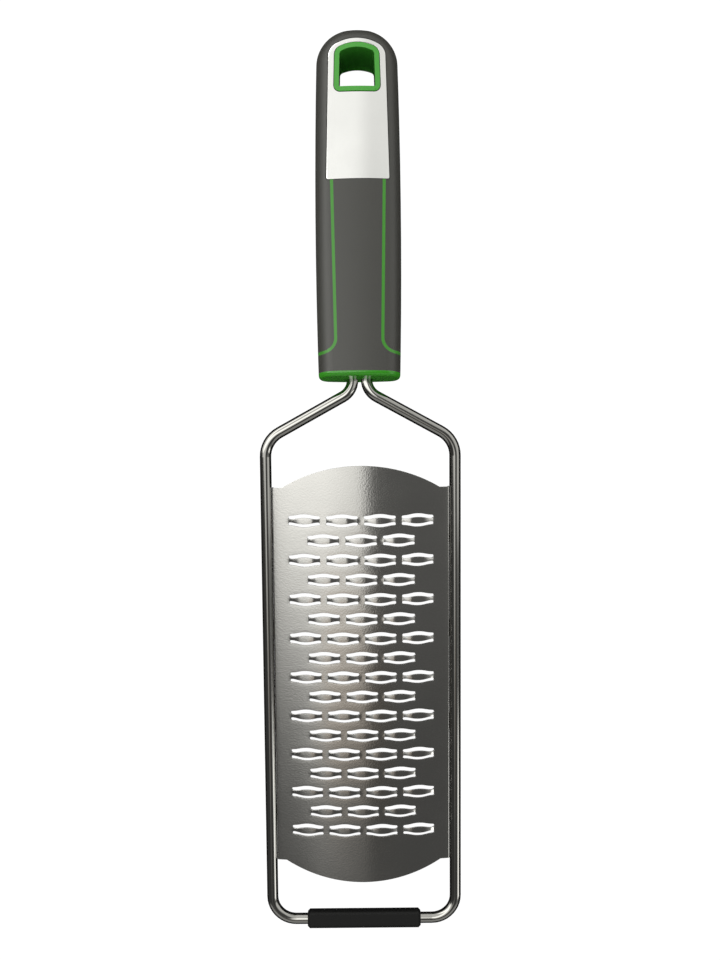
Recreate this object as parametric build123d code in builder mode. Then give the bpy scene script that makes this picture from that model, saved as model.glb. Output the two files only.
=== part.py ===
from build123d import *
import math
import os

# Rasp zester: a bent wire frame with a crowned grater blade and a two-colour moulded handle.
# It lies on its foot sleeve and on the tail of its handle, as on a table.
# Origin: centre of the foot's flat underside. X across, Y towards the handle, Z up.

# Wire frame
wire_dia = 4.0
frame_width = 70.0
frame_slope = 7.5
shoulder_reach = 174.2
neck_reach = 191.1
neck_gap = 0.9
foot_bend_radius = 8.5
shoulder_bend_radius = 9.6
neck_to_cap = 4.0
neck_straight = 0.1
leg_depth = 62.0

# Foot sleeve
sleeve_side = 6.1
sleeve_length = 40.8
sleeve_corner_radius = 1.2
sleeve_end_chamfer = 0.8
sleeve_fit = 0.05

# Grater blade
sheet = 0.5
blade_length = 150.5
blade_straight_length = 134.9
blade_start = 14.95
blade_ledge = 3.2
crown_radius = 178.0
blade_lift = 1.0
flange_depth = 2.0
flange_bend_radius = 1.2
blade_fit = 0.05

# Cutters: rows of eyes, each an opening with a raised two-edged strip across it
row_count = 17
wide_row_count = 4
row_pitch = 7.0
column_pitch = 13.25
eye_length = 11.1
eye_end_height = 3.1
eye_middle_height = 4.7
strip_middle_width = 2.2
strip_middle_length = 3.6
strip_neck_width = 1.0
strip_root_overlap = 0.3
strip_thickness = 0.38
strip_rise = 0.55

# Edge welds
weld_count = 4
weld_length = 6.0
weld_throat = 0.9

# Handle
handle_length = 125.3
handle_width = 30.0
cap_end_width = 28.3
tail_corner_width = 28.4
tail_corner_drop = 3.6
tail_corner_radius = 12.7
tail_thickness = 21.0
neck_palm_height = 8.4
neck_back_depth = 5.4
palm_crown_radius = 60.0
palm_edge_radius = 6.0
back_edge_radius = 4.2
widest_reach = 70.0
grip_wall = 2.0
palm_wall = 2.6
core_chamfer = 3.5
cap_depth = 1.6
cap_edge_radius = 1.4
leg_fit = 0.05

# Stripes: ribs of the core that show through the grip
stripe_width = 1.05
stripe_tail_spacing = 18.4
stripe_neck_spacing = 16.0
stripe_flare_drop = 6.7
stripe_flare_radius = 4.7
stripe_tuck = 1.5

# Steel plate
plate_thickness = 0.6
plate_tail_margin = 4.9
plate_length = 51.0
plate_foot_width = 22.0
plate_head_width = 20.0
plate_head_drop = 3.6
plate_head_radius = 5.0
plate_foot_radius = 0.8
plate_fit = 0.22

# Hang hole and its liner
hole_tail_margin = 8.3
hole_length = 14.3
hole_foot_width = 12.8
hole_head_width = 12.2
hole_head_drop = 1.6
hole_head_radius = 1.6
hole_foot_radius = 0.5
liner_lip = 1.7
liner_stand = 0.25

# Overrun of cutting bodies past what they cut
overrun = 1.0

# Places that follow from the sizes
foot_height = sleeve_side / 2
wire_radius = wire_dia / 2
side_wire_x = frame_width / 2 - wire_radius
leg_x = wire_radius + neck_gap / 2
frame_rise = math.radians(frame_slope)
neck_y = neck_reach * math.cos(frame_rise)
neck_z = foot_height + neck_reach * math.sin(frame_rise)
tail_reach = neck_to_cap + handle_length
grip_start = neck_to_cap + cap_depth
back_taper = math.atan2(tail_thickness / 2 - neck_back_depth, tail_reach - grip_start)

# The handle leans so far that the rounded edge of its tail touches the table
lean_run = tail_reach - back_edge_radius
lean_depth = tail_thickness / 2 - back_edge_radius * (math.tan(back_taper) + 1 / math.cos(back_taper))
lean_height = neck_z - back_edge_radius
lean = math.asin(lean_height / math.hypot(lean_run, lean_depth)) - math.atan2(lean_depth, lean_run)

frame_plane = Plane(
    origin=(0, 0, foot_height),
    x_dir=(1, 0, 0),
    z_dir=(0, -math.sin(frame_rise), math.cos(frame_rise)),
)
handle_plane = Plane(
    origin=(0, neck_y, neck_z),
    x_dir=(1, 0, 0),
    z_dir=(0, math.sin(lean), math.cos(lean)),
)
palm_axis = Axis(handle_plane.origin, handle_plane.z_dir)


def on_frame(x, reach, height=0):
    """Point at x across and reach along the frame, height above its wires."""
    return frame_plane.from_local_coords((x, reach, height))


def on_handle(x, reach, height=0):
    """Point at x across and reach along the handle from the neck, height above its middle."""
    return handle_plane.from_local_coords((x, reach, height))


# Wire frame: one wire, from a leg in the handle round the frame and back to the other leg
leg_end = neck_to_cap + leg_depth
neck_run = Vector(side_wire_x - leg_x, neck_reach - shoulder_reach, 0)
neck_run_direction = (on_frame(neck_run.X, neck_run.Y) - on_frame(0, 0)).normalized()
neck_turn = math.radians(neck_run_direction.get_angle(handle_plane.y_dir))
neck_bend_radius = (neck_to_cap - neck_straight) / math.tan(neck_turn / 2)

with BuildPart() as wire_frame:
    with BuildLine() as wire_path:
        FilletPolyline(
            on_handle(-leg_x, leg_end),
            on_frame(-leg_x, neck_reach),
            on_frame(-side_wire_x, shoulder_reach),
            on_frame(-side_wire_x, 0),
            on_frame(side_wire_x, 0),
            on_frame(side_wire_x, shoulder_reach),
            on_frame(leg_x, neck_reach),
            on_handle(leg_x, leg_end),
            radius=[
                neck_bend_radius,
                shoulder_bend_radius,
                foot_bend_radius,
                foot_bend_radius,
                shoulder_bend_radius,
                neck_bend_radius,
            ],
        )
    with BuildSketch(Plane(wire_path.wire() @ 0, z_dir=wire_path.wire() % 0)):
        Circle(wire_radius)
    sweep()
wire_frame.part.label = "wire_frame"
wire_length = wire_path.wire().length
wire_volume = wire_length * math.pi * wire_radius**2
print("wire length", round(wire_length, 1), "volume ratio", round(wire_frame.part.volume / wire_volume, 4))

# Foot sleeve: a square sleeve with rounded corners, pushed over the bottom bar
with BuildPart() as foot_sleeve:
    with BuildSketch(Plane.YZ):
        with Locations((0, foot_height)):
            RectangleRounded(sleeve_side, sleeve_side, sleeve_corner_radius)
    extrude(amount=sleeve_length / 2, both=True)
    chamfer(foot_sleeve.edges().group_by(Axis.X)[-1], sleeve_end_chamfer)
    chamfer(foot_sleeve.edges().group_by(Axis.X)[0], sleeve_end_chamfer)
    with BuildSketch(Plane.YZ):
        with Locations((0, foot_height)):
            Circle(wire_radius + sleeve_fit)
    extrude(amount=sleeve_length, both=True, mode=Mode.SUBTRACT)
foot_sleeve.part.label = "foot_sleeve"

# Blade places, in the frame's own plane
blade_half = side_wire_x - wire_radius - blade_fit
crown_rise = crown_radius - math.sqrt(crown_radius**2 - blade_half**2)
crown_top = blade_lift + crown_rise
crown_centre = crown_top - crown_radius
blade_middle = blade_start + blade_length / 2
blade_end_rise = (blade_length - blade_straight_length) / 2
flange_bottom = blade_lift - flange_depth


def hood(inset, bottom):
    """Closed profile under the crown, set in from the blade's outer skin."""
    half = blade_half - inset
    radius = crown_radius - inset
    edge_height = crown_centre + math.sqrt(radius**2 - half**2)
    with BuildSketch(Plane.XZ) as profile:
        with BuildLine():
            ThreePointArc((-half, edge_height), (0, crown_top - inset), (half, edge_height))
            Polyline((half, edge_height), (half, bottom), (-half, bottom), (-half, edge_height))
        make_face()
        fillet(profile.vertices().group_by(Axis.Y)[-1], flange_bend_radius - inset)
    return profile.sketch


blade_skin = hood(0, flange_bottom)
blade_hollow = hood(sheet, flange_bottom - overrun)

# Plan of the blade: straight sides, a ledge at each corner and arched ends
with BuildSketch() as blade_plan:
    arch_half = blade_half - blade_ledge
    end_half = blade_straight_length / 2
    tip_half = blade_length / 2
    with BuildLine():
        ThreePointArc((-arch_half, end_half), (0, tip_half), (arch_half, end_half))
        Polyline(
            (arch_half, end_half),
            (frame_width / 2, end_half),
            (frame_width / 2, -end_half),
            (arch_half, -end_half),
        )
        ThreePointArc((arch_half, -end_half), (0, -tip_half), (-arch_half, -end_half))
        Polyline(
            (-arch_half, -end_half),
            (-frame_width / 2, -end_half),
            (-frame_width / 2, end_half),
            (-arch_half, end_half),
        )
    make_face()


def spindle(length, end_width, middle_width):
    """Six-sided outline that widens from both its square ends to its middle."""
    Polyline(
        (0, middle_width / 2),
        (length / 2, end_width / 2),
        (length / 2, -end_width / 2),
        (0, -middle_width / 2),
        (-length / 2, -end_width / 2),
        (-length / 2, end_width / 2),
        close=True,
    )


# One eye: the opening in the sheet
with BuildPart() as eye_opening:
    with BuildSketch():
        with BuildLine():
            spindle(eye_length, eye_end_height, eye_middle_height)
        make_face()
    extrude(amount=sheet + overrun, both=True)

# Its strip: a ribbon bent up from the sheet, widest in its middle
strip_half_length = eye_length / 2 + strip_root_overlap
with BuildPart() as cutting_strip:
    with BuildSketch(Plane.XZ):
        with BuildLine():
            Polyline(
                (-strip_half_length, -sheet / 2),
                (-strip_middle_length / 2, strip_rise),
                (strip_middle_length / 2, strip_rise),
                (strip_half_length, -sheet / 2),
            )
        trace(line_width=strip_thickness)
    extrude(amount=eye_middle_height, both=True)
    with BuildSketch():
        with BuildLine():
            spindle(2 * strip_half_length, strip_neck_width, strip_middle_width)
        make_face()
    extrude(amount=sheet + strip_rise + overrun, both=True, mode=Mode.INTERSECT)

# Places of the cutters: rows of four and three in turn, square to the crown
cutter_places = []
for row in range(row_count):
    columns = wide_row_count - row % 2
    row_y = ((row_count - 1) / 2 - row) * row_pitch
    for column in range(columns):
        column_x = (column - (columns - 1) / 2) * column_pitch
        tilt = math.asin(column_x / crown_radius)
        column_z = crown_centre + crown_radius * math.cos(tilt)
        cutter_places.append(Location((column_x, row_y, column_z), (0, math.degrees(tilt), 0)))

with BuildPart() as flat_blade:
    extrude(blade_skin, amount=blade_length, both=True)
    extrude(blade_hollow, amount=blade_length + overrun, both=True, mode=Mode.SUBTRACT)
    extrude(blade_plan.sketch, amount=crown_top + flange_depth + overrun, both=True, mode=Mode.INTERSECT)
    with Locations(*cutter_places):
        add(eye_opening.part, mode=Mode.SUBTRACT)
    with Locations(*cutter_places):
        add(cutting_strip.part)

blade_place = Location(frame_plane) * Location((0, blade_middle, 0))
with BuildPart() as grater_blade:
    with Locations(blade_place):
        add(flat_blade.part)
grater_blade.part.label = "grater_blade"

# Edge welds: short beads in the groove under each flange, between flange and wire
weld_pitch = blade_straight_length / weld_count
with BuildPart() as edge_welds:
    for weld in range(weld_count):
        weld_reach = blade_middle + (weld - (weld_count - 1) / 2) * weld_pitch
        for side in (1, -1):
            weld_plane = Plane(
                origin=on_frame(side * side_wire_x, weld_reach),
                x_dir=(-side, 0, 0),
                z_dir=frame_plane.y_dir,
            )
            groove_side = 1 if weld_plane.y_dir.Z < 0 else -1
            with BuildSketch(weld_plane):
                with BuildLine():
                    Polyline(
                        (wire_radius + blade_fit, 0),
                        (wire_radius + blade_fit, groove_side * weld_throat),
                        (wire_radius - weld_throat / 2, groove_side * (weld_throat + wire_radius / 2)),
                        (wire_radius / 2, 0),
                        close=True,
                    )
                make_face()
                Circle(wire_radius, mode=Mode.SUBTRACT)
            extrude(amount=weld_length / 2, both=True)
edge_welds.part.label = "edge_welds"

# Places along the handle, from the neck towards the tail
plate_end = tail_reach - plate_tail_margin
plate_start = plate_end - plate_length
hole_end = tail_reach - hole_tail_margin
hole_start = hole_end - hole_length


def handle_outline(inset):
    """Plan of the handle from the grip's neck end to the tail, set in by inset."""
    end = tail_reach - inset
    corner = tail_reach - tail_corner_drop
    cap_half = cap_end_width / 2 - inset
    widest_half = handle_width / 2 - inset
    corner_half = tail_corner_width / 2 - inset
    with BuildSketch(handle_plane) as plan:
        with BuildLine():
            Line((-cap_half, grip_start), (cap_half, grip_start))
            ThreePointArc((cap_half, grip_start), (widest_half, widest_reach), (corner_half, corner))
            ThreePointArc((corner_half, corner), (0, end), (-corner_half, corner))
            ThreePointArc((-corner_half, corner), (-widest_half, widest_reach), (-cap_half, grip_start))
        make_face()
        fillet(plan.vertices().sort_by(Axis.Y)[-2:], tail_corner_radius - inset)
    return plan.sketch


def rims_of(form, side):
    """Edges round the palm (side 1) or the back (side -1) of a handle body, without the neck end's."""
    flank = form.faces().sort_by(palm_axis)[-1 if side > 0 else 0]
    return flank.edges().filter_by(lambda edge: handle_plane.to_local_coords(edge.center()).Y > grip_start + overrun)


def crowned_side(side, neck_height, inset):
    """All that lies under the palm's crown (side 1) or over the back's (side -1), set in by inset."""
    climb = Vector(0, tail_reach - grip_start, side * (tail_thickness / 2 - neck_height))
    foot = (0, grip_start, side * (neck_height - inset))
    direction = on_handle(0, climb.Y, climb.Z) - on_handle(0, 0)
    crown = palm_crown_radius - inset
    side_x = handle_width / 2 + overrun
    drop = crown - math.sqrt(crown**2 - side_x**2)
    with BuildPart() as crowned:
        with BuildSketch(Plane(on_handle(*foot), x_dir=(1, 0, 0), z_dir=direction)):
            with BuildLine():
                ThreePointArc((-side_x, side * drop), (0, 0), (side_x, side * drop))
                Polyline(
                    (side_x, side * drop),
                    (side_x, side * handle_width),
                    (-side_x, side * handle_width),
                    (-side_x, side * drop),
                )
            make_face()
        extrude(amount=tail_reach + overrun, both=True)
    return crowned.part


def handle_form(inset):
    """Crowned handle body with rounded edges, its skin set in by inset and its neck end flat."""
    with BuildPart() as form:
        extrude(handle_outline(inset), amount=tail_thickness, both=True)
        add(crowned_side(1, neck_palm_height, inset), mode=Mode.INTERSECT)
        add(crowned_side(-1, neck_back_depth, inset), mode=Mode.INTERSECT)
        fillet(rims_of(form, 1), palm_edge_radius - inset)
        fillet(rims_of(form, -1), back_edge_radius - inset)
    return form.part


outer_form = handle_form(0)
plate_bed_form = handle_form(plate_thickness)
liner_form = handle_form(-liner_stand)


def arched_outline(start, end, foot_width, head_width, head_drop, foot_radius, head_radius, margin):
    """Panel outline with a flat foot, converging sides and an arched head, grown by margin."""
    with BuildSketch(handle_plane) as outline:
        spring = end - head_drop
        with BuildLine():
            Polyline(
                (-head_width / 2, spring),
                (-foot_width / 2, start),
                (foot_width / 2, start),
                (head_width / 2, spring),
            )
            ThreePointArc((head_width / 2, spring), (0, end), (-head_width / 2, spring))
        make_face()
        fillet(outline.vertices().sort_by(Axis.Y)[:2], foot_radius)
        fillet(outline.vertices().sort_by(Axis.Y)[-2:], head_radius)
        if margin:
            offset(amount=margin)
    return outline.sketch


def hole_outline(margin):
    """Outline of the hang hole, grown by margin."""
    return arched_outline(
        hole_start,
        hole_end,
        hole_foot_width,
        hole_head_width,
        hole_head_drop,
        hole_foot_radius,
        hole_head_radius,
        margin,
    )


def plate_outline(margin):
    """Outline of the steel plate, grown by margin."""
    return arched_outline(
        plate_start,
        plate_end,
        plate_foot_width,
        plate_head_width,
        plate_head_drop,
        plate_foot_radius,
        plate_head_radius,
        margin,
    )


# Hang hole liner: a sleeve right through the handle, its lips a little proud
with BuildPart() as hang_hole_liner:
    extrude(hole_outline(liner_lip), amount=tail_thickness, both=True)
    add(liner_form, mode=Mode.INTERSECT)
    extrude(hole_outline(0), amount=tail_thickness, both=True, mode=Mode.SUBTRACT)
hang_hole_liner.part.label = "hang_hole_liner"

# Steel plate: curved with the palm, flush in its pocket, open round the liner
with BuildPart() as steel_plate:
    extrude(plate_outline(0), amount=tail_thickness)
    add(outer_form, mode=Mode.INTERSECT)
    add(plate_bed_form, mode=Mode.SUBTRACT)
    extrude(hole_outline(liner_lip + plate_fit), amount=tail_thickness, mode=Mode.SUBTRACT)
steel_plate.part.label = "steel_plate"

# Pocket for the plate
with BuildPart() as plate_pocket:
    extrude(plate_outline(plate_fit), amount=tail_thickness)
    add(plate_bed_form, mode=Mode.SUBTRACT)

# Bars that shape the stripes: down the palm, then flared out round the sides
flare_reach = grip_start + stripe_flare_drop
with BuildPart() as stripe_bars:
    with BuildSketch(handle_plane):
        with BuildLine():
            FilletPolyline(
                (stripe_tail_spacing / 2, plate_start + stripe_tuck),
                (stripe_neck_spacing / 2, flare_reach),
                (handle_width / 2 + overrun, flare_reach),
                radius=stripe_flare_radius,
            )
        trace(line_width=stripe_width)
        mirror(about=Plane.YZ)
    extrude(amount=tail_thickness, both=True)

# Body under the grip: flat faced, its long edges chamfered
core_tail_half = tail_thickness / 2 - palm_wall
with BuildPart() as core_body:
    extrude(handle_outline(grip_wall), amount=tail_thickness, both=True)
    with BuildSketch(Plane(handle_plane.origin, x_dir=handle_plane.y_dir, z_dir=handle_plane.x_dir)) as core_side:
        with BuildLine():
            Polyline(
                (grip_start, neck_palm_height - palm_wall),
                (tail_reach, core_tail_half),
                (tail_reach, -core_tail_half),
                (grip_start, palm_wall - neck_back_depth),
                close=True,
            )
        make_face()
    extrude(core_side.sketch, amount=handle_width, both=True, mode=Mode.INTERSECT)
    chamfer(rims_of(core_body, 1) + rims_of(core_body, -1), core_chamfer)

# Core: that body with the stripe ribs and the bores for the wire's legs
neck_end_plane = Plane(on_handle(0, grip_start), x_dir=(1, 0, 0), z_dir=handle_plane.y_dir)
with BuildPart() as handle_core:
    add(stripe_bars.part)
    add(outer_form, mode=Mode.INTERSECT)
    add(core_body.part)
    add(plate_pocket.part, mode=Mode.SUBTRACT)
    extrude(hole_outline(liner_lip), amount=tail_thickness, both=True, mode=Mode.SUBTRACT)
    with BuildSketch(neck_end_plane):
        with Locations((-leg_x, 0), (leg_x, 0)):
            Circle(wire_radius + leg_fit)
    extrude(amount=leg_end - grip_start + leg_fit, mode=Mode.SUBTRACT)
handle_core.part.label = "handle_core"

# Soft grip: the skin moulded round the core, open along the stripes
with BuildPart() as soft_grip:
    add(outer_form)
    add(core_body.part, mode=Mode.SUBTRACT)
    add(stripe_bars.part, mode=Mode.SUBTRACT)
    add(plate_pocket.part, mode=Mode.SUBTRACT)
    extrude(hole_outline(liner_lip), amount=tail_thickness, both=True, mode=Mode.SUBTRACT)
soft_grip.part.label = "soft_grip"

# End cap: closes the neck end, rounded all round its outer edge
with BuildPart() as end_cap:
    extrude(outer_form.faces().sort_by(Axis(handle_plane.origin, handle_plane.y_dir))[0], amount=cap_depth)
    cap_rim = end_cap.faces().sort_by(Axis(handle_plane.origin, handle_plane.y_dir))[0].edges()
    fillet(cap_rim, cap_edge_radius)
    with BuildSketch(neck_end_plane):
        with Locations((-leg_x, 0), (leg_x, 0)):
            Circle(wire_radius + leg_fit)
    extrude(amount=-cap_depth - overrun, mode=Mode.SUBTRACT)
end_cap.part.label = "end_cap"

os.makedirs("parts", exist_ok=True)
export_step(wire_frame.part, "parts/wire_frame.step")
export_step(foot_sleeve.part, "parts/foot_sleeve.step")
export_step(grater_blade.part, "parts/grater_blade.step")
export_step(edge_welds.part, "parts/edge_welds.step")
export_step(handle_core.part, "parts/handle_core.step")
export_step(soft_grip.part, "parts/soft_grip.step")
export_step(steel_plate.part, "parts/steel_plate.step")
export_step(hang_hole_liner.part, "parts/hang_hole_liner.step")
export_step(end_cap.part, "parts/end_cap.step")
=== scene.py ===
"""Looks of a rasp zester: a wire frame, a crowned grater blade and a two-colour handle.

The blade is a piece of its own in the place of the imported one. The liner of the hang hole
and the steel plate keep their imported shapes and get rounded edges. The other solids only
get their finish here. The blade is modelled in millimetres and put in its place in metres.
"""

import logging
import math
from dataclasses import dataclass
from enum import Enum
from typing import Callable, Sequence

import bpy
from mathutils import Matrix, Vector

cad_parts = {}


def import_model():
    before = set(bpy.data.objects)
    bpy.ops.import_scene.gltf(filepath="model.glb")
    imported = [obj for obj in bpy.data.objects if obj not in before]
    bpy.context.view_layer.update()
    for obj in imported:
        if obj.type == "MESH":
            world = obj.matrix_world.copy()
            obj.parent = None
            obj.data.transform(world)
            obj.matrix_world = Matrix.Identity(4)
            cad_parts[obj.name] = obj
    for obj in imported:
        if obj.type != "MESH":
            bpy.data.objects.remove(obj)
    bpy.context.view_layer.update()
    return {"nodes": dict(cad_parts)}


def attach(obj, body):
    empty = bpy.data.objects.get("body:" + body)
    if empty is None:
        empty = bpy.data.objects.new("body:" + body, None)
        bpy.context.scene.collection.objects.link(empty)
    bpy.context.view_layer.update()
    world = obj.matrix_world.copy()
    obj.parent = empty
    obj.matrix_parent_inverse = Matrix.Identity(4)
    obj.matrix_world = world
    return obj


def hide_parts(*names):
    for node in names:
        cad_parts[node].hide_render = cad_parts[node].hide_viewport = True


log = logging.getLogger("rasp_zester")

Triple = tuple[float, float, float]
Span = tuple[float, float]
Chooser = Callable[[Vector], bool]

# A millimetre in metres
MM = 0.001

# Points of a piece that lie nearer than this meet, in millimetres
TOUCH = 0.002

# Detail of the noise that makes grain, and of the noise that makes clouds
GRAIN_DETAIL = 2
CLOUD_DETAIL = 3


class Side(Enum):
    """The two long sides of the blade."""

    LEFT = -1
    RIGHT = 1


class End(Enum):
    """The blade's end at the foot and its end at the handle."""

    FOOT = -1
    HANDLE = 1


class Term:
    """A shader value that takes part in ordinary sums and products."""

    def __init__(self, bench: "Bench", socket: bpy.types.NodeSocket) -> None:
        """Wraps a socket of the bench's node tree."""
        self.bench = bench
        self.socket = socket

    def _math(self, operation: str, *values: object) -> "Term":
        """Adds a Math node.

        Args:
            operation: the node's operation.
            values: its inputs, in order, as terms or numbers.

        Returns:
            The node's result.
        """
        node = self.bench.node("ShaderNodeMath", {"operation": operation}, *values)
        return Term(self.bench, node.outputs[0])

    def __add__(self, other: object) -> "Term":
        """Sum."""
        return self._math("ADD", self, other)

    def __radd__(self, other: object) -> "Term":
        """Sum, with the term on the right."""
        return self._math("ADD", other, self)

    def __sub__(self, other: object) -> "Term":
        """Difference."""
        return self._math("SUBTRACT", self, other)

    def __rsub__(self, other: object) -> "Term":
        """Difference, with the term on the right."""
        return self._math("SUBTRACT", other, self)

    def __mul__(self, other: object) -> "Term":
        """Product."""
        return self._math("MULTIPLY", self, other)

    def __rmul__(self, other: object) -> "Term":
        """Product, with the term on the right."""
        return self._math("MULTIPLY", other, self)

    def __truediv__(self, other: object) -> "Term":
        """Quotient."""
        return self._math("DIVIDE", self, other)

    def at_least(self, other: object) -> "Term":
        """The larger of the two."""
        return self._math("MAXIMUM", self, other)

    def at_most(self, other: object) -> "Term":
        """The smaller of the two."""
        return self._math("MINIMUM", self, other)

    def rise(self, start: float, end: float) -> "Term":
        """A soft step from 0 to 1.

        Args:
            start: where it leaves 0.
            end: where it reaches 1.

        Returns:
            The step.
        """
        settings = {"interpolation_type": "SMOOTHSTEP"}
        span = {"From Min": start, "From Max": end}
        node = self.bench.node("ShaderNodeMapRange", settings, self, **span)
        return Term(self.bench, node.outputs[0])

    def fall(self, start: float, end: float) -> "Term":
        """A soft step from 1 at start to 0 at end."""
        return 1 - self.rise(start, end)

    def blend(self, one: object, other: object) -> "Term":
        """The one where the term is 0, the other where it is 1."""
        return one * (1 - self) + other * self


class Bench:
    """A node tree and the ways to add nodes to it."""

    def __init__(self, tree: bpy.types.NodeTree) -> None:
        """Clears the tree for its new nodes."""
        self.tree = tree
        tree.nodes.clear()

    def node(
        self, kind: str, settings: dict | None = None, *values: object, **named: object
    ) -> bpy.types.Node:
        """Adds a node.

        Args:
            kind: the node's type.
            settings: its settings, with the stops of a colour ramp under "stops".
            values: its first inputs in order.
            named: its other inputs by name.

        Returns:
            The node.
        """
        node = self.tree.nodes.new(kind)
        for name, value in (settings or {}).items():
            if name == "stops":
                self._set_stops(node.color_ramp, value)
            else:
                setattr(node, name, value)
        for socket, value in zip(node.inputs, values):
            self.feed(socket, value)
        for name, value in named.items():
            self.feed(node.inputs[name], value)
        return node

    def feed(self, socket: bpy.types.NodeSocket, value: object) -> None:
        """Links a term or a socket to an input, or sets a plain value on it.

        Args:
            socket: the input.
            value: what goes into it.
        """
        if isinstance(value, Term):
            self.tree.links.new(value.socket, socket)
        elif isinstance(value, bpy.types.NodeSocket):
            self.tree.links.new(value, socket)
        else:
            socket.default_value = value

    @staticmethod
    def _set_stops(ramp: bpy.types.ColorRamp, stops: Sequence[Span]) -> None:
        """Gives a colour ramp its stops.

        Args:
            ramp: the colour ramp, with two stops so far.
            stops: the place and the grey of each stop.
        """
        while len(ramp.elements) < len(stops):
            ramp.elements.new(0.5)
        for element, (place, level) in zip(ramp.elements, stops):
            element.position = place
            element.color = (level, level, level, 1)

    def place(self) -> bpy.types.NodeSocket:
        """The point on the object, in metres."""
        return self.node("ShaderNodeTexCoord").outputs["Object"]

    def parts(self, vector: bpy.types.NodeSocket) -> tuple[Term, Term, Term]:
        """The x, y and z of a vector."""
        x, y, z = self.node("ShaderNodeSeparateXYZ", None, vector).outputs
        return Term(self, x), Term(self, y), Term(self, z)

    def scaled(self, place: bpy.types.NodeSocket, scale: Triple) -> bpy.types.NodeSocket:
        """The place scaled along each axis."""
        return self.node("ShaderNodeMapping", None, place, Scale=scale).outputs[0]

    def noise(self, place: bpy.types.NodeSocket, scale: float, detail: float) -> Term:
        """Noise around 0.5 at a place."""
        node = self.node("ShaderNodeTexNoise", None, Vector=place, Scale=scale, Detail=detail)
        return Term(self, node.outputs["Fac"])

    def mix(self, factor: object, one: object, other: object) -> bpy.types.NodeSocket:
        """A colour between two colours.

        Args:
            factor: how far it lies from the first to the second.
            one: the first colour.
            other: the second colour.

        Returns:
            The mixed colour.
        """
        node = self.node("ShaderNodeMix", {"data_type": "RGBA"})
        first_colour, second_colour = (socket for socket in node.inputs if socket.type == "RGBA")
        self.feed(node.inputs[0], factor)
        self.feed(first_colour, one)
        self.feed(second_colour, other)
        return next(socket for socket in node.outputs if socket.type == "RGBA")

    def bump(self, height: Term, depth: float) -> bpy.types.NodeSocket:
        """A bumped normal, with the depth of the bumps in millimetres."""
        sockets = {"Height": height, "Strength": 1.0, "Distance": depth * MM}
        return self.node("ShaderNodeBump", None, **sockets).outputs[0]


def rgba(colour: Triple, share: float = 1.0) -> tuple[float, float, float, float]:
    """A colour with full alpha, brighter or darker by share."""
    return (colour[0] * share, colour[1] * share, colour[2] * share, 1.0)


def grey(level: float) -> tuple[float, float, float, float]:
    """A grey with full alpha."""
    return rgba((level, level, level))


def new_material(name: str) -> tuple[bpy.types.Material, Bench]:
    """Adds a material.

    Args:
        name: the material's name.

    Returns:
        The material, with no nodes, and its bench.
    """
    material = bpy.data.materials.new(name)
    material.use_nodes = True
    return material, Bench(material.node_tree)


def close_surface(bench: Bench, shader: bpy.types.Node) -> None:
    """Links a shader to the material's output."""
    bench.node("ShaderNodeOutputMaterial", None, shader.outputs[0])


@dataclass(frozen=True)
class Palm:
    """The crowned skin on the upper side of the handle, in metres and radians.

    Attributes:
        neck: y and z of the point that the handle leans about.
        lean: how far the handle leans down towards its tail.
        height: height of the skin over the handle's middle at the neck.
        taper: how much the skin rises for each metre towards the tail.
        crown: radius of the skin across the handle.
        painted_hole_shade: depths below the skin between which painted shade darkens the hang hole.
    """

    neck: Span = (0.189465, 0.027993)
    lean: float = math.radians(8.149)
    height: float = 0.0083
    taper: float = 0.017
    crown: float = 0.06
    painted_hole_shade: Span = (-0.0001, 0.0005)

    def hole_shade_mask(self, bench: Bench, place: bpy.types.NodeSocket) -> Term:
        """How much painted shade a point gets, from how far it lies down in the hang hole.

        Args:
            bench: the node tree to work in.
            place: the point.

        Returns:
            0 at the skin and above it, 1 below the well's depths.
        """
        x, y, z = bench.parts(place)
        out, up = y - self.neck[0], z - self.neck[1]
        along = out * math.cos(self.lean) - up * math.sin(self.lean)
        height = out * math.sin(self.lean) + up * math.cos(self.lean)
        depth = self.height + along * self.taper - x * x / (2 * self.crown) - height
        return depth.rise(*self.painted_hole_shade)


@dataclass(frozen=True)
class Mottle:
    """Clouds and grain that make a tone a little uneven.

    Attributes:
        cloud_scale: clouds in a metre.
        cloud_share: the clouds' share of it, where the rest is the grain's.
        dark: share of the tone where it is darkest.
        light: share of the tone where it is lightest.
    """

    cloud_scale: float
    cloud_share: float
    dark: float
    light: float

    def clouds(self, bench: Bench) -> Term:
        """The clouds, around 0.5."""
        return bench.noise(bench.place(), self.cloud_scale, CLOUD_DETAIL)

    def colour(self, bench: Bench, tone: Triple, clouds: Term, grain: Term) -> bpy.types.NodeSocket:
        """The tone made uneven."""
        factor = clouds * self.cloud_share + grain * (1 - self.cloud_share)
        return bench.mix(factor, rgba(tone, self.dark), rgba(tone, self.light))


STEEL_MOTTLE = Mottle(cloud_scale=90.0, cloud_share=0.6, dark=0.9, light=1.08)
PLASTIC_MOTTLE = Mottle(cloud_scale=60.0, cloud_share=0.5, dark=0.9, light=1.1)


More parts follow.
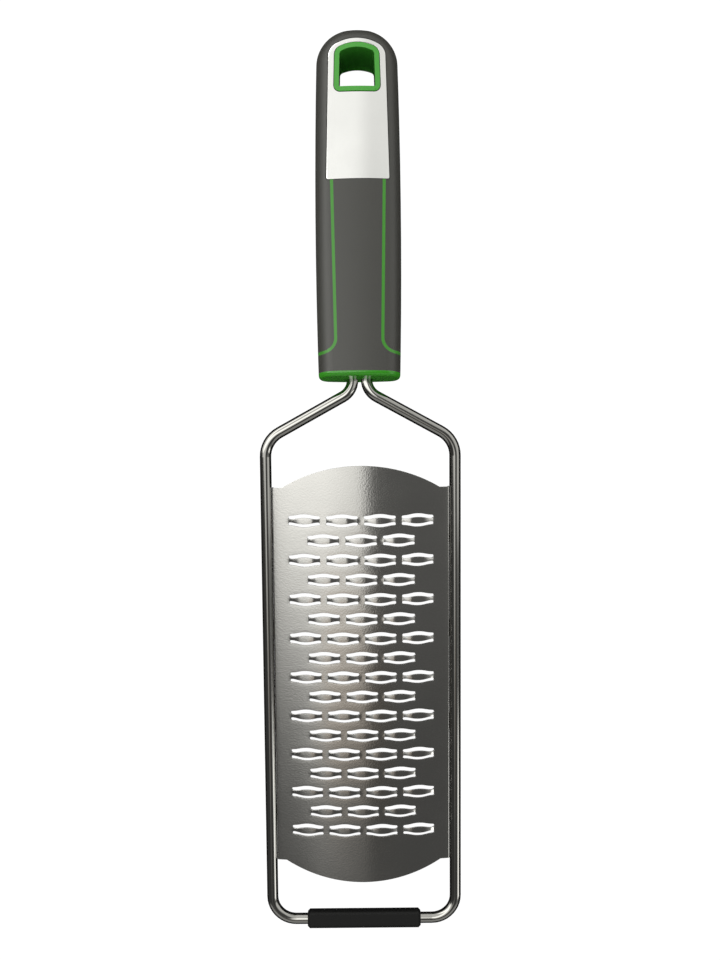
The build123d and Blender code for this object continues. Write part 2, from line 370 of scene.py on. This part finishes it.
@dataclass(frozen=True)
class Steel:
    """Bare steel with a fine grain, even or drawn out along one direction.

    Attributes:
        tone: base colour.
        roughness: middle roughness.
        spread: how far the roughness strays.
        grain: size of the grain, in millimetres.
        stretch: how much longer the grain is, along x, y and z.
        relief: depth of the grain, in millimetres.
    """

    tone: Triple
    roughness: float
    spread: float = 0.04
    grain: float = 0.4
    stretch: Triple = (1, 1, 1)
    relief: float = 0.002

    def make(self, name: str) -> bpy.types.Material:
        """Builds the material.

        Args:
            name: the material's name.

        Returns:
            The material.
        """
        material, bench = new_material(name)
        per_metre = 1 / (self.grain * MM)
        drawn = bench.scaled(bench.place(), tuple(per_metre / length for length in self.stretch))
        grain = bench.noise(drawn, 1.0, GRAIN_DETAIL)
        clouds = STEEL_MOTTLE.clouds(bench)
        rough = self.roughness + (grain - 0.5) * self.spread
        sockets = {
            "Base Color": STEEL_MOTTLE.colour(bench, self.tone, clouds, grain),
            "Metallic": 1.0,
            "Roughness": rough + (clouds - 0.5) * self.spread,
            "Normal": bench.bump(grain, self.relief),
        }
        close_surface(bench, bench.node("ShaderNodeBsdfPrincipled", None, **sockets))
        return material


@dataclass(frozen=True)
class Plastic:
    """Moulded plastic or rubber with a fine skin.

    Attributes:
        tone: base colour.
        roughness: middle roughness.
        spread: how far the roughness strays.
        grain: size of the skin's grain, in millimetres.
        relief: depth of the grain, in millimetres.
        shine: level of the plain reflection.
        painted_hole_shade: share of the tone that is left down in the hang hole, as painted shade.
    """

    tone: Triple
    roughness: float
    spread: float = 0.1
    grain: float = 0.25
    relief: float = 0.01
    shine: float = 0.5
    painted_hole_shade: float = 1.0

    def make(self, name: str) -> bpy.types.Material:
        """Builds the material.

        Args:
            name: the material's name.

        Returns:
            The material.
        """
        material, bench = new_material(name)
        grain = bench.noise(bench.place(), 1 / (self.grain * MM), GRAIN_DETAIL)
        colour = PLASTIC_MOTTLE.colour(bench, self.tone, PLASTIC_MOTTLE.clouds(bench), grain)
        # Painted shade: the tone darkens with depth down the hang hole
        if self.painted_hole_shade < 1:
            hole_shade_mask = Palm().hole_shade_mask(bench, bench.place())
            colour = bench.mix(hole_shade_mask, colour, rgba(self.tone, self.painted_hole_shade))
        sockets = {
            "Base Color": colour,
            "Specular IOR Level": self.shine,
            "Roughness": self.roughness + (grain - 0.5) * self.spread,
            "Normal": bench.bump(grain, self.relief),
        }
        close_surface(bench, bench.node("ShaderNodeBsdfPrincipled", None, **sockets))
        return material


# Every finish by its slot in the record
FINISHES: dict[str, Steel | Plastic] = {
    # The wire's steel has a darker tone than the blade's as painted shade, for the darker
    # surroundings that the wires mirror
    "polished_wire": Steel(
        (0.34, 0.335, 0.32), 0.09, spread=0.03, grain=0.15, stretch=(1, 8, 1), relief=0.0003
    ),
    "satin_blade": Steel((0.64, 0.63, 0.61), 0.11, grain=0.55, relief=0.014),
    "weld_steel": Steel((0.30, 0.29, 0.28), 0.45, grain=0.5, relief=0.02),
    "plate_steel": Steel((0.72, 0.72, 0.71), 0.12, grain=0.2, stretch=(1, 8, 1)),
    "foot_rubber": Plastic((0.005, 0.005, 0.005), 0.6, grain=0.3, shine=0.2),
    "soft_grip": Plastic((0.046, 0.0455, 0.041), 0.4, grain=0.22, relief=0.012),
    "green_plastic": Plastic((0.044, 0.255, 0.02), 0.32, grain=0.5, relief=0.003),
    # The liner's tone darkens down the hang hole as painted shade
    "liner_plastic": Plastic((0.058, 0.35, 0.034), 0.15, grain=0.5, relief=0.003, painted_hole_shade=0.75),
    "cap_plastic": Plastic((0.034, 0.27, 0.012), 0.22, grain=0.5, relief=0.003),
}

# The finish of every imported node
FINISH_OF: dict[str, str] = {
    "wire_frame": "polished_wire",
    "foot_sleeve": "foot_rubber",
    "grater_blade": "satin_blade",
    "edge_welds": "weld_steel",
    "handle_core": "green_plastic",
    "soft_grip": "soft_grip",
    "steel_plate": "plate_steel",
    "hang_hole_liner": "liner_plastic",
    "end_cap": "cap_plastic",
}


def beyond(axis: int, side: Side | End, limit: float) -> Chooser:
    """Chooses the points at or past a limit, on one side of the middle.

    Args:
        axis: 0 for across, 1 for along.
        side: the side that is looked at.
        limit: distance of the limit from the middle, in millimetres.

    Returns:
        The chooser.
    """
    return lambda point: point[axis] * side.value > limit - TOUCH


class Piece:
    """A mesh object under work, with the edit-mode tools by their everyday names."""

    def __init__(self, piece: bpy.types.Object) -> None:
        """Takes the object in hand."""
        self.object = piece
        self.take()

    def take(self) -> None:
        """Makes this the only selected object and the active one."""
        bpy.ops.object.select_all(action="DESELECT")
        self.object.select_set(True)
        bpy.context.view_layer.objects.active = self.object

    @classmethod
    def field(cls, name: str, size: Vector, columns: int, rows: int) -> "Piece":
        """A flat grid with one corner at the origin, facing up.

        Args:
            name: the object's name.
            size: its width and depth.
            columns: faces across.
            rows: faces deep.

        Returns:
            The piece.
        """
        bpy.ops.object.select_all(action="DESELECT")
        bpy.ops.mesh.primitive_grid_add(x_subdivisions=columns, y_subdivisions=rows, size=1)
        grid = bpy.context.object
        grid.name = name
        corner = Matrix.Translation((size.x / 2, size.y / 2, 0))
        grid.matrix_world = corner @ Matrix.Diagonal((size.x, size.y, 1, 1))
        bpy.ops.object.transform_apply(location=True, rotation=True, scale=True)
        return cls(grid)

    @classmethod
    def twin_of(cls, model: bpy.types.Object, name: str) -> "Piece":
        """A copy of an object, with a mesh of its own.

        Args:
            model: what is copied.
            name: the copy's name.

        Returns:
            The piece.
        """
        twin = model.copy()
        twin.data = model.data.copy()
        twin.name = name
        bpy.context.collection.objects.link(twin)
        return cls(twin)

    @classmethod
    def cast_of(cls, node: bpy.types.Object, name: str) -> "Piece":
        """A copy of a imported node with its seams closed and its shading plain, in metres.

        Args:
            node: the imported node, which is left alone.
            name: the copy's name.

        Returns:
            The piece.
        """
        cast = cls.twin_of(node, name)
        cast.edit(bpy.ops.mesh.select_all, action="SELECT")
        cast.edit(bpy.ops.mesh.remove_doubles, threshold=TOUCH * MM)
        bpy.ops.mesh.customdata_custom_splitnormals_clear()
        return cast

    def shift(self, offset: Triple) -> None:
        """Moves the whole piece."""
        self.put(Matrix.Translation(offset))

    def put(self, place: Matrix) -> None:
        """Moves the whole piece, and its mesh with it.

        Args:
            place: the matrix that takes it to its place.
        """
        self.take()
        self.object.matrix_world = place @ self.object.matrix_world
        bpy.ops.object.transform_apply(location=True, rotation=True, scale=True)

    def choose_vertices(self, wanted: Chooser) -> None:
        """Selects vertices and the edges between them.

        Args:
            wanted: tells from a vertex's place whether it is chosen.
        """
        self._clear_choice()
        mesh = self.object.data
        for vertex in mesh.vertices:
            vertex.select = wanted(vertex.co)
        chosen = {vertex.index for vertex in mesh.vertices if vertex.select}
        for edge in mesh.edges:
            edge.select = all(index in chosen for index in edge.vertices)

    def choose_faces(self, wanted: Chooser) -> None:
        """Selects faces.

        Args:
            wanted: tells from the place of a face's middle whether it is chosen.
        """
        self._clear_choice()
        for face in self.object.data.polygons:
            face.select = wanted(face.center)

    def _clear_choice(self) -> None:
        """Leaves nothing of the mesh selected, in vertex mode."""
        self.take()
        bpy.ops.object.mode_set(mode="EDIT")
        bpy.ops.mesh.select_mode(type="VERT")
        bpy.ops.mesh.select_all(action="DESELECT")
        bpy.ops.object.mode_set(mode="OBJECT")

    def edit(self, operator: Callable[..., set[str]], **settings: object) -> None:
        """Runs one edit-mode operator on what is chosen.

        Args:
            operator: the operator.
            settings: its settings.
        """
        self.take()
        bpy.ops.object.mode_set(mode="EDIT")
        operator(**settings)
        bpy.ops.object.mode_set(mode="OBJECT")

    def draw_out(self, wanted: Chooser, offset: Triple) -> None:
        """Extrudes the chosen border by an offset."""
        self.choose_vertices(wanted)
        self.edit(bpy.ops.mesh.extrude_region_move, TRANSFORM_OT_translate={"value": offset})

    def modify(self, kind: str, **settings: object) -> None:
        """Adds a modifier and applies it.

        Args:
            kind: the modifier's type.
            settings: its settings.
        """
        self.take()
        modifier = self.object.modifiers.new(kind.lower(), kind)
        for name, value in settings.items():
            setattr(modifier, name, value)
        bpy.ops.object.modifier_apply(modifier=modifier.name)

    def repeat(self, count: int, step: Triple, merge: bool) -> None:
        """Repeats the piece in a row.

        Args:
            count: how many there are in all.
            step: the way from one to the next.
            merge: whether neighbours grow together where they meet.
        """
        self.modify(
            "ARRAY",
            count=count,
            use_relative_offset=False,
            use_constant_offset=True,
            constant_offset_displace=step,
            use_merge_vertices=merge,
            merge_threshold=TOUCH,
        )

    def join(self, other: "Piece") -> None:
        """Joins another piece into this one and closes the seams.

        Args:
            other: the piece that is used up.
        """
        self.take()
        other.object.select_set(True)
        bpy.ops.object.join()
        self.weld()

    def weld(self) -> None:
        """Merges vertices that meet."""
        self.edit(bpy.ops.mesh.select_all, action="SELECT")
        self.edit(bpy.ops.mesh.remove_doubles, threshold=TOUCH)

    def face_out(self) -> None:
        """Turns every face of the shell outwards."""
        self.edit(bpy.ops.mesh.select_all, action="SELECT")
        self.edit(bpy.ops.mesh.normals_make_consistent, inside=False)

    def reshape(self, moved: Callable[[Vector], Vector]) -> None:
        """Moves every vertex.

        Args:
            moved: tells a vertex's new place from its old one.
        """
        for vertex in self.object.data.vertices:
            vertex.co = moved(vertex.co.copy())
        self.object.data.update()

    def round_edges(self, radius: float, segments: int, from_angle: float) -> None:
        """Bevels the edges that are sharper than an angle.

        Args:
            radius: width of the bevel, in the piece's own unit.
            segments: faces across the bevel.
            from_angle: the angle, in degrees.
        """
        self.modify(
            "BEVEL",
            width=radius,
            segments=segments,
            limit_method="ANGLE",
            angle_limit=math.radians(from_angle),
        )

    def smooth(self, from_angle: float) -> None:
        """Shades smooth, with broad faces kept even and edges sharp from an angle on.

        Args:
            from_angle: the angle, in degrees.
        """
        self.take()
        bpy.ops.object.shade_smooth_by_angle(angle=math.radians(from_angle))
        self.modify("WEIGHTED_NORMAL", weight=50, keep_sharp=True)

    def dress(self, material: bpy.types.Material, slot: str) -> None:
        """Gives the piece its finish and lets it ride with the tool.

        Args:
            material: the finish.
            slot: not used.
        """
        self.object.data.materials.clear()
        self.object.data.materials.append(material)
        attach(self.object, "root")


@dataclass
class Blade:
    """The crowned sheet with its sixty cutters, all of one piece, in millimetres.

    Each cutter is a strip pressed up between two slots. The slots and the strip are given
    by their stations from the middle of a cutter to the border of its field.

    Attributes:
        pitch: distance of neighbours in a row of cutters.
        row_pitch: distance of neighbouring rows.
        wide_row: cutters in a wide row. A narrow row has one fewer.
        row_pairs: pairs of a wide and a narrow row. One more wide row ends the field.
        stations: distances of the stations from the cutter's middle.
        outer: the slots' outer edges at the stations.
        inner: the slots' inner edges, which are the strip's edges.
        lift: height of the strip at the stations.
        sheet: thickness of the sheet.
        half_length: half the length of its straight sides.
        half_tip: half the length between the tips of its arched ends.
        arch_half: half the width of the arches.
        edge_half: half the width over the turned-down edges.
        crown_radius: radius of the crown across the sheet.
        crown_top: height of the crown over the middle of the wires.
        flange_radius: outer radius of the bends at the turned-down edges.
        flange_steps: faces round such a bend.
        flange_bottom: lower end of the edges, from the middle of the wires.
        middle: distance of the blade's middle from the foot, along the frame.
        foot_height: height of the wire at the foot.
        slope: rise of the frame, in degrees.
        edge_bevel: width of the fine bevel on the cut edges.
        bevel_segments: faces across that bevel.
        bevel_angle: edges are bevelled from this angle on, in degrees.
        sharp_angle: edges are shaded sharp from this angle on, in degrees.
    """

    pitch: float = 13.25
    row_pitch: float = 7.0
    wide_row: int = 4
    row_pairs: int = 8
    stations: tuple[float, ...] = (0.0, 1.15, 2.1, 3.0, 3.9, 4.7, 5.28, 5.56, 6.625)
    outer: tuple[float, ...] = (2.33, 2.27, 2.12, 1.93, 1.77, 1.69, 1.63, 1.38, 1.75)
    inner: tuple[float, ...] = (1.13, 1.08, 0.96, 0.78, 0.62, 0.56, 0.61, 0.90, 0.60)
    lift: tuple[float, ...] = (0.78, 0.77, 0.74, 0.64, 0.50, 0.29, 0.09, 0.0, 0.0)
    sheet: float = 0.5
    half_length: float = 67.45
    half_tip: float = 75.25
    arch_half: float = 27.75
    edge_half: float = 30.95
    crown_radius: float = 178.0
    crown_top: float = 3.71
    flange_radius: float = 0.56
    flange_steps: int = 4
    flange_bottom: float = -1.0
    middle: float = 90.2
    foot_height: float = 3.05
    slope: float = 7.5
    edge_bevel: float = 0.06
    bevel_segments: int = 2
    bevel_angle: float = 50.0
    sharp_angle: float = 60.0

    def build(self, material: bpy.types.Material) -> bpy.types.Object:
        """Builds the blade in its place.

        Args:
            material: its finish.

        Returns:
            The finished object.
        """
        blade = self._rows(self._cutter())
        self._margins(blade)
        self._arches(blade)
        self._crown(blade)
        self._flanges(blade)
        blade.face_out()
        blade.modify("SOLIDIFY", thickness=self.sheet, offset=-1, use_even_offset=True)
        blade.round_edges(self.edge_bevel, self.bevel_segments, self.bevel_angle)
        blade.smooth(self.sharp_angle)
        slope = Matrix.Rotation(math.radians(self.slope), 4, "X")
        on_frame = Matrix.Translation((0, self.middle, self.crown_top))
        place = Matrix.Translation((0, 0, self.foot_height)) @ slope @ on_frame
        blade.put(Matrix.Scale(MM, 4) @ place)
        blade.object.name = "blade_sheet"
        blade.dress(material, "satin_blade")
        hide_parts("grater_blade")
        return blade.object

    @property
    def _steps(self) -> int:
        """Faces from the middle of a cutter to the border of its field."""
        return len(self.stations) - 1

    @property
    def _rows_half(self) -> float:
        """Half the width of the cutters' field."""
        return self.pitch * self.wide_row / 2

    def _cutter(self) -> Piece:
        """One cutter in its field, modelled as a quarter and mirrored both ways.

        Returns:
            The cutter, around the origin.
        """
        steps, half_row = self._steps, self.row_pitch / 2
        quarter = Piece.field("cutter", Vector((steps, 3, 0)), steps, 3)
        quarter.choose_faces(lambda middle: 1 < middle.y < 2 and middle.x < steps - 1)
        quarter.edit(bpy.ops.mesh.delete, type="FACE")

        def shaped(point: Vector) -> Vector:
            """Takes a point of the grid to the cutter.

            Args:
                point: the grid's point, which counts stations and bands.

            Returns:
                Its place on the cutter.
            """
            station, band = round(point.x), round(point.y)
            reach = (0.0, self.inner[station], self.outer[station], half_row)[band]
            across = station * self.pitch / 2 / steps if band == 3 else self.stations[station]
            return Vector((across, reach, self.lift[station] if band < 2 else 0.0))

        quarter.reshape(shaped)
        quarter.modify("MIRROR", use_axis=(True, True, False), use_clip=True, merge_threshold=TOUCH)
        return quarter

    def _row(self, cutter: Piece, name: str, count: int) -> Piece:
        """A row of cutters around the origin.

        Args:
            cutter: the cutter that is repeated.
            name: the row's name.
            count: its number of cutters.

        Returns:
            The row.
        """
        row = Piece.twin_of(cutter.object, name)
        row.repeat(count, (self.pitch, 0, 0), merge=True)
        row.shift((self.pitch * (1 - count) / 2, 0, 0))
        return row

    def _rows(self, cutter: Piece) -> Piece:
        """The whole field, with wide and narrow rows in turn.

        Args:
            cutter: the cutter that is repeated. It is used up.

        Returns:
            The field, around the origin.
        """
        wide = self._row(cutter, "wide_row", self.wide_row)
        narrow = self._row(cutter, "narrow_row", self.wide_row - 1)
        step = self.pitch / 2 / self._steps
        for side in Side:
            for count in range(self._steps):
                border = self._rows_half - self.pitch / 2 + count * step
                narrow.draw_out(beyond(0, side, border), (side.value * step, 0, 0))
        narrow.shift((0, -self.row_pitch, 0))
        last = Piece.twin_of(wide.object, "last_row")
        wide.join(narrow)
        wide.repeat(self.row_pairs, (0, -2 * self.row_pitch, 0), merge=False)
        last.shift((0, -2 * self.row_pitch * self.row_pairs, 0))
        wide.join(last)
        wide.shift((0, self.row_pitch * self.row_pairs, 0))
        bpy.data.objects.remove(cutter.object)
        return wide

    def _flange_turn(self) -> tuple[float, float]:
        """Where the crown ends and the bend of a turned-down edge begins.

        Returns:
            The flat distance of that line from the middle, and the crown's angle there.
        """
        centre_x = self.edge_half - self.flange_radius
        angle = math.asin(centre_x / (self.crown_radius - self.flange_radius))
        return self.crown_radius * angle, angle

    def _margins(self, blade: Piece) -> None:
        """Draws out the plain margins beside the rows and beyond them.

        Args:
            blade: the field of cutters.
        """
        edge, _ = self._flange_turn()
        for side in Side:
            border = self._rows_half
            for stop in (self.arch_half, (self.arch_half + edge) / 2, edge):
                blade.draw_out(beyond(0, side, border), (side.value * (stop - border), 0, 0))
                border = stop
        border = self.row_pitch * (self.row_pairs + 0.5)
        for end in End:
            blade.draw_out(beyond(1, end, border), (0, end.value * (self.half_length - border), 0))

    def _arches(self, blade: Piece) -> None:
        """Draws out the arched ends and rounds them.

        Args:
            blade: the flat sheet with its straight ends.
        """
        rise = self.half_tip - self.half_length
        radius = (self.arch_half**2 + rise**2) / (2 * rise)
        for end in End:
            at_end = beyond(1, end, self.half_length)
            blade.draw_out(
                lambda point: at_end(point) and abs(point.x) < self.arch_half + TOUCH,
                (0, end.value * rise, 0),
            )

        def rounded(point: Vector) -> Vector:
            """Takes a point of the outermost row to the arch.

            Args:
                point: a point of the sheet.

            Returns:
                Its new place.
            """
            if abs(point.y) < self.half_tip - TOUCH:
                return point
            reach = self.half_tip - radius + math.sqrt(radius**2 - point.x**2)
            return Vector((point.x, math.copysign(max(reach, self.half_length), point.y), point.z))

        blade.reshape(rounded)
        blade.weld()

    def _crown(self, blade: Piece) -> None:
        """Bends the flat sheet to its crown.

        Args:
            blade: the flat sheet.
        """
        edge, _ = self._flange_turn()
        angle = 2 * edge / self.crown_radius
        blade.put(Matrix.Rotation(math.pi / 2, 4, "X"))
        blade.modify("SIMPLE_DEFORM", deform_method="BEND", deform_axis="Z", angle=angle)
        blade.put(Matrix.Rotation(-math.pi / 2, 4, "X"))

    def _flanges(self, blade: Piece) -> None:
        """Turns the edges down between the wires.

        Args:
            blade: the crowned sheet.
        """
        _, angle = self._flange_turn()
        centre_x = self.edge_half - self.flange_radius
        centre_z = (self.crown_radius - self.flange_radius) * math.cos(angle) - self.crown_radius
        for side in Side:
            blade.choose_vertices(beyond(0, side, self.crown_radius * math.sin(angle)))
            blade.edit(
                bpy.ops.mesh.spin,
                steps=self.flange_steps,
                angle=-side.value * (math.pi / 2 - angle),
                center=(side.value * centre_x, 0, centre_z),
                axis=(0, 1, 0),
            )
            drop = self.flange_bottom - self.crown_top - centre_z
            blade.draw_out(beyond(0, side, self.edge_half), (0, 0, drop))


@dataclass
class HandleTrim:
    """The liner of the hang hole and the steel plate, with rounded edges.

    Attributes:
        lip_radius: rounding of the liner's lips, in millimetres.
        lip_segments: faces across that rounding.
        plate_radius: rounding of the plate's edges, in millimetres.
        plate_segments: faces across that rounding.
        from_angle: edges are rounded and shaded sharp from this angle on, in degrees.
    """

    lip_radius: float = 0.85
    lip_segments: int = 4
    plate_radius: float = 0.16
    plate_segments: int = 3
    from_angle: float = 40.0

    def build(
        self, nodes: dict[str, bpy.types.Object], materials: dict[str, bpy.types.Material]
    ) -> list[bpy.types.Object]:
        """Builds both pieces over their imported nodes.

        Args:
            nodes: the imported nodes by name.
            materials: the finishes by slot.

        Returns:
            The finished objects.
        """
        liner = self._rounded(
            nodes["hang_hole_liner"], "liner_rim", self.lip_radius, self.lip_segments
        )
        liner.dress(materials["liner_plastic"], "liner_plastic")
        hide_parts("hang_hole_liner")
        plate = self._rounded(
            nodes["steel_plate"], "plate_face", self.plate_radius, self.plate_segments
        )
        plate.dress(materials["plate_steel"], "plate_steel")
        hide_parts("steel_plate")
        return [liner.object, plate.object]

    def _rounded(self, node: bpy.types.Object, name: str, radius: float, segments: int) -> Piece:
        """A copy of a node with its edges rounded.

        Args:
            node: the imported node.
            name: the copy's name.
            radius: the rounding, in millimetres.
            segments: faces across it.

        Returns:
            The piece.
        """
        cast = Piece.cast_of(node, name)
        cast.round_edges(radius * MM, segments, self.from_angle)
        cast.smooth(self.from_angle)
        return cast


@dataclass(frozen=True)
class Panel:
    """A soft-edged panel of the studio, laid out in the sky's terms.

    Attributes:
        left: where its left side fades in, going across.
        right: where its right side fades out.
        near: where it fades in, going along.
        far: where it fades out.
        level: its light.
    """

    left: Span
    right: Span
    near: Span
    far: Span
    level: float

    def seen(self, across: Term, along: Term) -> Term:
        """The panel's light in a direction."""
        width = across.rise(*self.left) * across.fall(*self.right)
        return width * along.rise(*self.near) * along.fall(*self.far) * self.level


# Beside the tool on the left: the white lines in the wires that lead to the left shoulder
TALL_PANEL = Panel(
    left=(-1.8, -1.6), right=(-0.84, -0.66), near=(-0.1, 0.1), far=(2.3, 2.6), level=3.2
)

# Over the neck: the white in the wires where they leave the cap
WIDE_PANEL = Panel(
    left=(-2.2, -1.7), right=(-0.05, 0.15), near=(-0.17, -0.08), far=(0.26, 0.34), level=3.0
)

# What the blade mirrors brown, below its middle
BROWN_CARD = Panel(
    left=(-0.27, -0.12), right=(0.06, 0.2), near=(-0.54, -0.47), far=(-0.42, -0.3), level=1.0
)

# Light of the main panel from the blade's foot to its head
KEY_FADE: list[Span] = [
    (0.10, 0.05),
    (0.16, 0.10),
    (0.225, 0.23),
    (0.284, 0.37),
    (0.34, 0.57),
    (0.383, 0.74),
    (0.432, 0.93),
    (0.55, 0.98),
]


class Sky:
    """Soft panels and dark cards round the tool, laid out by the direction that a ray takes.

    A direction is told by where it meets a ceiling one metre up: across and along from the
    point over the tool. Its slant is its share along the side wires, the same all round a wire.
    """

    # Flatter directions are taken as if they rose by this
    HORIZON = 0.03

    # What along and up add to the slant
    SLANT = (0.991, 0.13)

    # Where the fade of the main panel starts
    FADE_START = -0.7

    # Light of the main panel, and what it loses at its lower left, down its middle, and
    # more down its middle at the foot's end
    KEY_LEVEL = 1.34
    LOWER_LEFT_LOSS = 0.6
    MIDDLE_LOSS = 0.2
    LOWER_MIDDLE_LOSS = 0.3

    # Light over the plate and over the grip, on the left and on the right
    PLATE_LEVELS = (1.13, 0.9)
    GRIP_LEVELS = (1.9, 0.15)

    # Light on the right, at the foot's end and at the handle's end, and past the foot
    RIGHT_LEVELS = (0.2, 1.05)
    CORNER_LEVEL = 2.6

    # Light of the parts that the photographed view mirrors nowhere
    FILL_LEVEL = 0.45

    # Light from all round, and what it loses towards the foot
    BASE_LEVEL = 0.11
    LOW_LOSS = 0.03

    # Colour of the sky, and of what the brown card sends
    NEUTRAL = (1, 1, 0.965, 1)
    BROWN = (1, 0.9, 0.79, 1)

    def __init__(self, bench: Bench) -> None:
        """Works out the terms of a ray's direction.

        Args:
            bench: the world's node tree.
        """
        self.bench = bench
        x, y, z = bench.parts(bench.node("ShaderNodeTexCoord").outputs["Generated"])
        height = z.at_least(self.HORIZON)
        self.up = z
        self.across = x / height
        self.along = y / height
        self.slant = y * self.SLANT[0] + z * self.SLANT[1]
        self.low = self.along.fall(-0.52, -0.32)

    def _key(self) -> Term:
        """The main panel, which the left half of the blade mirrors.

        Returns:
            Its light.
        """
        run = self.along - self.FADE_START
        fade = self.bench.node("ShaderNodeValToRGB", {"stops": KEY_FADE}, run)
        upper_left = self.along.rise(-0.33, -0.26) * self.across.rise(-2.2, -1.2)
        left = self.across.rise(-0.62, -0.36).at_least(upper_left)
        lower_left = 1 - self.low * self.LOWER_LEFT_LOSS * self.across.fall(-0.36, -0.19)
        loss = self.low * self.LOWER_MIDDLE_LOSS + self.MIDDLE_LOSS
        middle = 1 - loss * self.across.rise(-0.2, -0.02)
        edges = left * self.across.fall(0.0, 0.045) * self.along.fall(0.2, 0.36)
        return Term(self.bench, fade.outputs[0]) * lower_left * middle * edges * self.KEY_LEVEL

    def _head(self) -> Term:
        """The panel over the handle, brighter on the left.

        Returns:
            Its light.
        """
        over_plate = self.across.rise(-0.05, 0.22).blend(*self.PLATE_LEVELS)
        over_grip = self.across.rise(-0.5, 0.25).blend(*self.GRIP_LEVELS)
        over_handle = self.along.rise(0.41, 0.45).blend(over_grip, over_plate)
        return self.along.rise(0.05, 0.35) * over_handle

    def _right(self) -> Term:
        """The panels far to the right, which draw lines down the right side wire.

        Returns:
            Their light.
        """
        side = self.across.rise(0.4, 1.1) * self.slant.rise(-0.19, -0.14).blend(*self.RIGHT_LEVELS)
        corner = self.slant.rise(-0.5, -0.42) * self.slant.fall(-0.32, -0.25)
        corner = corner * self.across.rise(1.0, 1.5) * self.CORNER_LEVEL
        return side.at_least(corner) * self.across.fall(4.0, 6.0)

    def _fill(self) -> Term:
        """Faint light from where the photographed view mirrors nothing.

        Returns:
            Its light.
        """
        behind = self.along.rise(0.7, 1.2) * self.across.fall(-1.9, -1.7)
        return (self.slant.fall(-0.62, -0.5) + behind).at_most(1) * self.FILL_LEVEL

    def level(self) -> Term:
        """All of the sky's light.

        Returns:
            The light.
        """
        panels = [self._head(), self._right(), self._fill()]
        panels += [panel.seen(self.across, self.along) for panel in (TALL_PANEL, WIDE_PANEL)]
        light = self._key()
        for panel in panels:
            light = light.at_least(panel)
        return light * self.up.rise(0.02, 0.12) + self.BASE_LEVEL - self.low * self.LOW_LOSS

    def tint(self) -> bpy.types.NodeSocket:
        """The sky's colour."""
        return self.bench.mix(BROWN_CARD.seen(self.across, self.along), self.NEUTRAL, self.BROWN)


@dataclass
class Studio:
    """Camera, floor and soft light.

    Attributes:
        camera_place: where the camera stands, in metres. It looks straight down.
        roll: how far it is turned, in degrees.
        lens: its focal length, in millimetres.
        sensor: long side of its sensor, in millimetres.
        nearest: nearest distance that it sees, in metres.
        floor_size: side of the floor, in metres.
        floor_tone: tone of the floor.
        mirrored_tone: tone of the floor in mirror images, where it is a dark card.
        glow: light of the floor as the camera sees it, which makes it white.
        glow_share: share of that light. The rest takes the tool's shadow.
        diffuse_share: share of the panels in the light on rough surfaces.
        diffuse_level: plain light on rough surfaces.
    """

    camera_place: Triple = (-0.00016, 0.1587, 0.565)
    roll: float = -0.495
    lens: float = 58.13
    sensor: float = 36.0
    nearest: float = 0.01
    floor_size: float = 6.0
    floor_tone: float = 0.85
    mirrored_tone: float = 0.03
    glow: float = 1.085
    glow_share: float = 0.92
    diffuse_share: float = 0.58
    diffuse_level: float = 0.27

    def build(self) -> None:
        """Sets the studio up."""
        self._camera()
        self._floor()
        self._sky()
        bpy.context.scene.view_settings.view_transform = "Standard"

    def _camera(self) -> None:
        """The camera straight above the tool."""
        data = bpy.data.cameras.new("camera")
        data.lens = self.lens
        data.sensor_width = self.sensor
        data.clip_start = self.nearest
        camera = bpy.data.objects.new("camera", data)
        camera.location = self.camera_place
        camera.rotation_euler = (0, 0, math.radians(self.roll))
        bpy.context.collection.objects.link(camera)
        bpy.context.scene.camera = camera

    def _floor(self) -> None:
        """A white floor that keeps a faint shadow."""
        bpy.ops.object.select_all(action="DESELECT")
        bpy.ops.mesh.primitive_plane_add(size=self.floor_size)
        floor = bpy.context.object
        floor.name = "floor"
        material, bench = new_material("white_floor")
        path = bench.node("ShaderNodeLightPath").outputs
        tone = bench.mix(path["Is Glossy Ray"], grey(self.floor_tone), grey(self.mirrored_tone))
        cloth = bench.node("ShaderNodeBsdfDiffuse", None, tone)
        glow = bench.node("ShaderNodeEmission", None, grey(1), self.glow)
        factor = Term(bench, path["Is Camera Ray"]) * self.glow_share
        shaders = (cloth.outputs[0], glow.outputs[0])
        close_surface(bench, bench.node("ShaderNodeMixShader", None, factor, *shaders))
        floor.data.materials.append(material)

    def _sky(self) -> None:
        """The light round the tool, white to the camera and plainer to rough surfaces."""
        world = bpy.data.worlds.new("studio")
        bpy.context.scene.world = world
        world.use_nodes = True
        bench = Bench(world.node_tree)
        sky = Sky(bench)
        path = bench.node("ShaderNodeLightPath").outputs
        camera_ray = Term(bench, path["Is Camera Ray"])
        diffuse_ray = Term(bench, path["Is Diffuse Ray"])
        colour = bench.mix(camera_ray, sky.tint(), grey(1))
        panels = sky.level() * (1 - diffuse_ray * (1 - self.diffuse_share))
        strength = camera_ray + (1 - camera_ray) * (panels + diffuse_ray * self.diffuse_level)
        background = bench.node("ShaderNodeBackground", None, colour, strength)
        bench.node("ShaderNodeOutputWorld", None, background.outputs[0])


def dress_nodes(
    nodes: dict[str, bpy.types.Object], materials: dict[str, bpy.types.Material]
) -> None:
    """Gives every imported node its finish.

    Args:
        nodes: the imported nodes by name.
        materials: the finishes by slot.
    """
    for name, finish in FINISH_OF.items():
        for slot in nodes[name].material_slots:
            slot.material = materials[finish]
        log.info("%s wears %s", name, finish)


def main() -> None:
    """Builds the looks and reports each piece."""
    logging.basicConfig(level=logging.INFO, format="%(message)s")
    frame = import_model()
    Studio().build()
    materials = {name: finish.make(name) for name, finish in FINISHES.items()}
    dress_nodes(frame["nodes"], materials)
    pieces = [Blade().build(materials["satin_blade"])]
    pieces += HandleTrim().build(frame["nodes"], materials)
    for piece in pieces:
        log.info("%s has %d faces", piece.name, len(piece.data.polygons))


if __name__ == "__main__":
    main()
